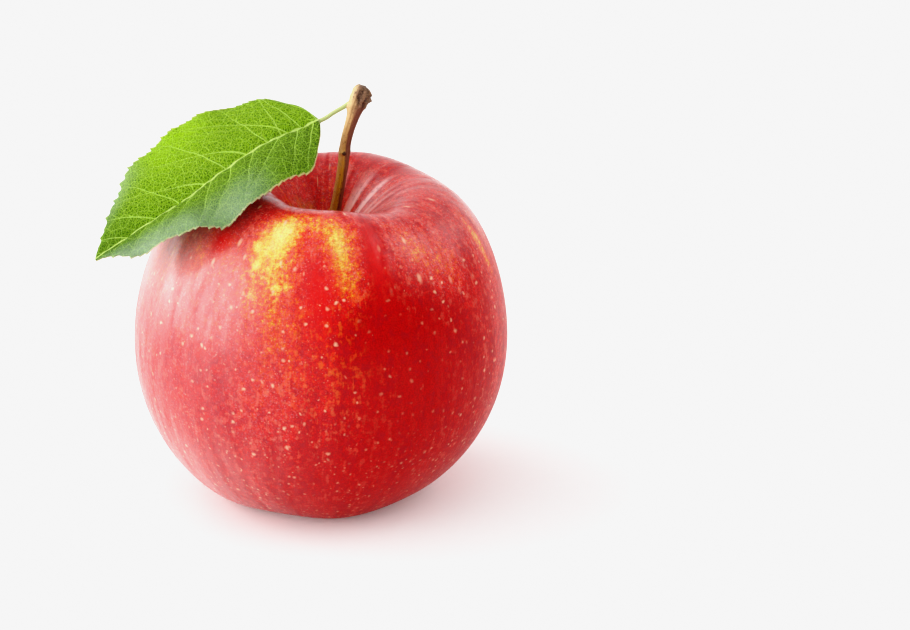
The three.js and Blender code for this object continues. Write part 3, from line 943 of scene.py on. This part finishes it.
def sepal_rings(seed, facing):
    """A narrow pointed blade that curls outwards: its middle line turns from straight down to
    level along a quarter circle, its width falls with a power of the distance, and both faces
    are cupped across and crinkled by waves."""
    rng = np.random.default_rng(seed)
    s = np.linspace(0, 1, SEPAL_RINGS)[:, None]
    t = np.linspace(0, 2 * math.pi, SEPAL_SIDES, endpoint=False)[None, :]
    curl = math.radians(75 + rng.uniform(-20, 35))
    length = SEPAL_LENGTH * rng.uniform(0.85, 1.05)
    out = CALYX_RADIUS + length * (1 - np.cos(curl * s)) / curl
    drop = length * np.sin(curl * s) / curl
    sway = rng.uniform(-0.8, 0.8) * s**2
    half_wide = SEPAL_WIDTH / 2 * (1 - s**1.7) ** 0.8 + 0.06
    across = half_wide * np.cos(t)
    cup = 0.5 * (across / SEPAL_WIDTH) ** 2 * (1 + 2 * s)
    crinkle = 0.10 * np.sin(across * 5 + s * 9 + seed) + 0.08 * np.sin(s * 23 + across * 3)
    over = SEPAL_HALF_THICKNESS * np.sin(t) + cup + crinkle * (0.3 + s)
    bend = curl * s
    x = out + over * np.cos(bend)
    z = -drop + over * np.sin(bend)
    y = across + sway
    turned_x = x * math.cos(facing) - y * math.sin(facing)
    turned_y = x * math.sin(facing) + y * math.cos(facing)
    return np.stack([turned_x, turned_y, z + 0 * t], -1) + calyx_centre


DARK_TO_TAN = [
    (0.25, (0.05, 0.028, 0.014)),
    (0.5, (0.20, 0.13, 0.06)),
    (0.75, (0.42, 0.33, 0.20)),
]
DRY_RELIEF = 0.15 * MM

dry = Finish("dried_calyx")
place = dry.millimetres()
grain = dry.noise(place, 1.4, 4.0, 0.7)
fibre = dry.noise(dry.millimetres((1.0, 1.0, 0.2)), 3.0, 3.0, 0.6)
colour = dry.ramp(grain * 0.6 + fibre * 0.4, *DARK_TO_TAN)
dry.set(Base_Color=colour, Roughness=0.8 + grain * 0.15, Specular_IOR_Level=0.25)
dry.set(Normal=dry.bump(fibre + grain, DRY_RELIEF, 0.8))

for k in range(5):
    rings = sepal_rings(41 + k, 2 * math.pi * k / 5)
    sepal = skin_mesh(f"dry_sepal_{k + 1}", rings, rings[0].mean(0), rings[-1].mean(0))
    sepal.data.materials.append(dry.material)
    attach(sepal, "root")
    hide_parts(f"sepal_{k + 1}")

# The stamens are joined in one piece: their threads spread from a low woody disc.
STAMENS = 16
INNER_RING = 1.0
OUTER_RING = 1.9
THREAD_RADIUS = 0.13
THREAD_ROOT = 0.7
ANTHER_SWELL = 0.16
DISC_RADIUS = 2.4
DISC_TOP = 1.1
DISC_BOTTOM = -0.25
THREAD_SIDES = 12
THREAD_RINGS = 24
DISC_SIDES = 40
DISC_RINGS = 14
threads = []
rng = np.random.default_rng(51)
turns = np.linspace(0, 2 * math.pi, THREAD_SIDES, endpoint=False)[None, :]
for k in range(STAMENS):
    facing = 2 * math.pi * (k + rng.uniform(-0.3, 0.3)) / STAMENS
    ring_radius = OUTER_RING if k % 2 else INNER_RING
    splay = rng.uniform(0.1, 0.9) * (1 if k % 2 else 0.5)
    length = rng.uniform(2.6, 3.8)
    s = np.linspace(0, 1, THREAD_RINGS)[:, None]
    reach = ring_radius + splay * length * s**1.5
    fall = THREAD_ROOT - length * s
    line = np.concatenate([reach * math.cos(facing), reach * math.sin(facing), fall], -1)
    girth = THREAD_RADIUS + ANTHER_SWELL * np.exp(-(((s - 0.93) / 0.07) ** 2)) + 0 * turns
    rings = bar(line + calyx_centre, girth, turns)[:, ::-1]
    thread = skin_mesh(f"stamen_{k + 1}", rings, rings[0].mean(0), rings[-1].mean(0))
    threads.append(thread)
s = np.linspace(0, 1, DISC_RINGS)[:, None]
turns = np.linspace(0, 2 * math.pi, DISC_SIDES, endpoint=False)[None, :]
round_edge = np.sin(0.15 + s * (math.pi - 0.3)) ** 0.5
disc_radius = DISC_RADIUS * round_edge * (1 + 0.06 * np.cos(5 * turns))
disc_height = DISC_TOP - 1.3 * s + 0 * turns
disc_rings = np.stack([disc_radius * np.cos(turns), disc_radius * np.sin(turns), disc_height], -1)
disc_rings = disc_rings[:, ::-1] + calyx_centre
disc_ends = calyx_centre + [0, 0, DISC_TOP], calyx_centre + [0, 0, DISC_BOTTOM]
disc = skin_mesh("stamen_tuft_dry", disc_rings, *disc_ends)
with bpy.context.temp_override(active_object=disc, selected_editable_objects=[disc, *threads]):
    bpy.ops.object.join()
disc.data.materials.append(dry.material)
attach(disc, "root")
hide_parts("stamen_tuft")


# ---- The floor, the light and the camera ----
# A plain white sweep in a white tent. One large soft light stands low on the left, with weaker
# ones at the front left, in front, at the back left and on the right.

FLOOR_SIZE = 6.0
FLOOR_GREY = (0.86, 0.86, 0.86)
FLOOR_WHITE = (0.88, 0.88, 0.88)
FLOOR_GLOW = 0.12
corners = [(x * FLOOR_SIZE, y * FLOOR_SIZE, 0) for x, y in ((-1, -1), (1, -1), (1, 1), (-1, 1))]
floor_mesh = bpy.data.meshes.new("white_sweep")
floor_mesh.from_pydata(corners, [], [(0, 1, 2, 3)])
floor = bpy.data.objects.new("white_sweep", floor_mesh)
bpy.context.scene.collection.objects.link(floor)
paper = Finish("white_paper")
fleck = paper.noise(paper.millimetres(), 0.4, 2.0, 0.5)
paper.set(
    Base_Color=paper.mix(fleck, FLOOR_GREY, FLOOR_WHITE),
    Roughness=0.8,
    Specular_IOR_Level=0.1,
    Emission_Color=(1.0, 1.0, 1.0),
    Emission_Strength=FLOOR_GLOW,
)
floor.data.materials.append(paper.material)


def soft_sun(name, azimuth, elevation, spread, strength):
    """A round soft light far away: its azimuth, elevation and spread in degrees."""
    data = bpy.data.lights.new(name, "SUN")
    data.energy = strength
    data.angle = math.radians(spread)
    light = bpy.data.objects.new(name, data)
    a, e = math.radians(azimuth), math.radians(elevation)
    toward = Vector((math.cos(e) * math.cos(a), math.cos(e) * math.sin(a), math.sin(e)))
    light.rotation_euler = toward.to_track_quat("Z", "Y").to_euler()
    bpy.context.scene.collection.objects.link(light)


soft_sun("left_softbox", -174, 7, 80, 4.4)
soft_sun("front_left_softbox", -130, 4, 80, 1.3)
soft_sun("front_softbox", -85, 55, 60, 0.6)
soft_sun("back_left_softbox", 150, 44, 40, 0.6)
soft_sun("right_softbox", 8, 30, 56, 1.0)

# The tent's cloth is dim in front, brighter towards the back and a little dimmer overhead. Its
# opening is at the right and somewhat forward, about twenty degrees high, and nearly dark.
OPENING_X = 0.94
OPENING_Y = -0.34
OPENING_DARKNESS = 0.93
FRONT_LIGHT = 0.26
MORE_BEHIND = 0.78
LESS_OVERHEAD = 0.1

world = bpy.data.worlds.new("white_tent")
bpy.context.scene.world = world
world.use_nodes = True
tent = Finish("white_tent", world.node_tree)
way = tent.node("TexCoord", out="Generated")
x = tent.axis(way, "X")
y = tent.axis(way, "Y")
z = tent.axis(way, "Z")
level = (x * x + y * y) ** 0.5
to_opening = (x * OPENING_X + y * OPENING_Y) / level.most(0.01)
opening = to_opening.fade(0.50, 0.68) * z.fade(0.42, 0.28)
tent_light = FRONT_LIGHT + y.fade(-0.8, 0.6) * MORE_BEHIND + (z.fade(0.2, 1.0) * -LESS_OVERHEAD)
strength = tent_light * (1 - opening * OPENING_DARKNESS)
background = world.node_tree.nodes["Background"]
background.inputs["Color"].default_value = (1, 1, 1, 1)
tent.feed(background.inputs["Strength"], strength)

# The camera looks down a little, from the front, at a point to the right of the fruit's middle.
AIM = Vector((0.02882, 0.0012803, 0.0386244))
ELEVATION = math.radians(20.5)
DISTANCE = 0.8
SENSOR_WIDTH = 36.0
LENS = 147.2
camera_data = bpy.data.cameras.new("camera")
camera_data.sensor_width = SENSOR_WIDTH
camera_data.lens = LENS
camera = bpy.data.objects.new("camera", camera_data)
looking = Vector((0, math.cos(ELEVATION), -math.sin(ELEVATION)))
camera.location = Vector(placing * MM + AIM) - looking * DISTANCE
camera.rotation_euler = looking.to_track_quat("-Z", "Y").to_euler()
bpy.context.scene.collection.objects.link(camera)
bpy.context.scene.camera = camera

# Printed as a studio prints it: the sweep is overexposed and held just under white, and the
# deepest shades are pulled down a little.
TONE_CURVE = [(0.0, 0.0), (0.03, 0.011), (0.12, 0.098), (0.45, 0.47), (0.85, 0.85), (1.0, 0.92)]
view = bpy.context.scene.view_settings
view.view_transform = "Standard"
view.use_curve_mapping = True
view.curve_mapping.extend = "HORIZONTAL"
response = view.curve_mapping.curves[3].points
response[0].location, response[1].location = TONE_CURVE[0], TONE_CURVE[-1]
for level, printed in TONE_CURVE[1:-1]:
    response.new(level, printed)
view.curve_mapping.update()
